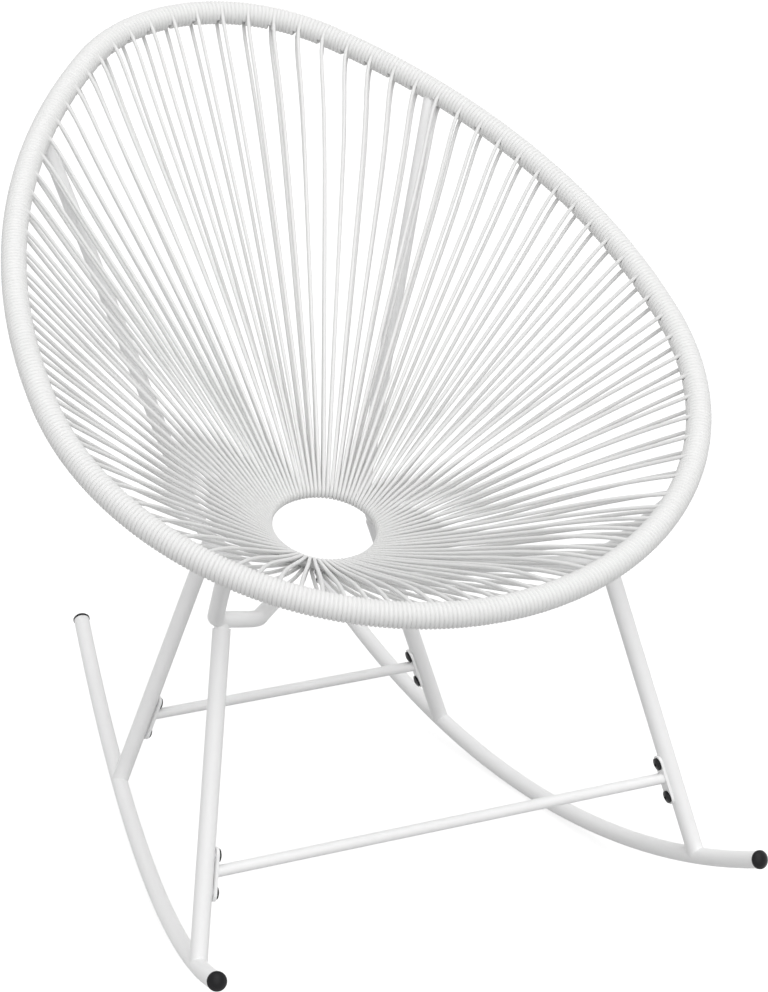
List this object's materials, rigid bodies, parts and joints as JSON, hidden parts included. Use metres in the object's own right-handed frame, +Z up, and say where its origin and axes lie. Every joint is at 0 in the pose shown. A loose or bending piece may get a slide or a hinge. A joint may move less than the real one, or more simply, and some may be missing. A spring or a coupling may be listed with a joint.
{
  "type": "string seat rocking chair",
  "caption": "Low rocking chair with an egg-shaped steel hoop laced with round cord to a small seat ring, on bent struts, tube legs and two curved rocker rails.",
  "frame": {"origin": "floor level, under the middle of the bounding box", "axes": "+Z up, the sitter faces -Y, +X to the sitter's left, mirror plane at X = 0"},
  "size_m": [0.75, 0.8799, 0.8881],
  "materials": {
    "white_cord": "smooth extruded cord, satin",
    "white_powder_coat": "white powder coat, satin",
    "black_plastic": "moulded black plastic, slight sheen",
    "zinc_steel": "zinc plated, hidden in the legs",
    "black_steel": "black coated bolt, satin"
  },
  "bodies": {
    "root": {"blind_nuts": "zinc_steel", "centre_ring": "white_powder_coat", "front_left_bar_plate": "white_powder_coat", "front_left_leg": "white_powder_coat", "front_left_rail_cap": "black_plastic", "front_left_spigot": "white_powder_coat", "front_right_bar_plate": "white_powder_coat", "front_right_leg": "white_powder_coat", "front_right_rail_cap": "black_plastic", "front_right_spigot": "white_powder_coat", "front_stretcher_bar": "white_powder_coat", "hoop_cord_wrap": "white_cord", "left_rocker_rail": "white_powder_coat", "left_strut": "white_powder_coat", "rear_left_bar_plate": "white_powder_coat", "rear_left_leg": "white_powder_coat", "rear_left_rail_cap": "black_plastic", "rear_left_spigot": "white_powder_coat", "rear_right_bar_plate": "white_powder_coat", "rear_right_leg": "white_powder_coat", "rear_right_rail_cap": "black_plastic", "rear_right_spigot": "white_powder_coat", "rear_stretcher_bar": "white_powder_coat", "right_rocker_rail": "white_powder_coat", "right_strut": "white_powder_coat", "ring_cord_turns": "white_cord", "seat_cords_01": "white_cord", "seat_cords_02": "white_cord", "seat_cords_03": "white_cord", "seat_cords_04": "white_cord", "seat_cords_05": "white_cord", "seat_cords_06": "white_cord", "seat_cords_07": "white_cord", "seat_cords_08": "white_cord", "seat_cords_09": "white_cord", "seat_cords_10": "white_cord", "seat_cords_11": "white_cord", "seat_cords_12": "white_cord", "seat_cords_13": "white_cord", "seat_cords_14": "white_cord", "seat_cords_15": "white_cord", "seat_cords_16": "white_cord", "seat_cords_17": "white_cord", "seat_cords_18": "white_cord", "seat_cords_19": "white_cord", "seat_cords_20": "white_cord", "seat_cords_21": "white_cord", "seat_cords_22": "white_cord", "seat_hoop": "white_powder_coat", "stretcher_bolts": "black_steel"}
  },
  "joints": []
}
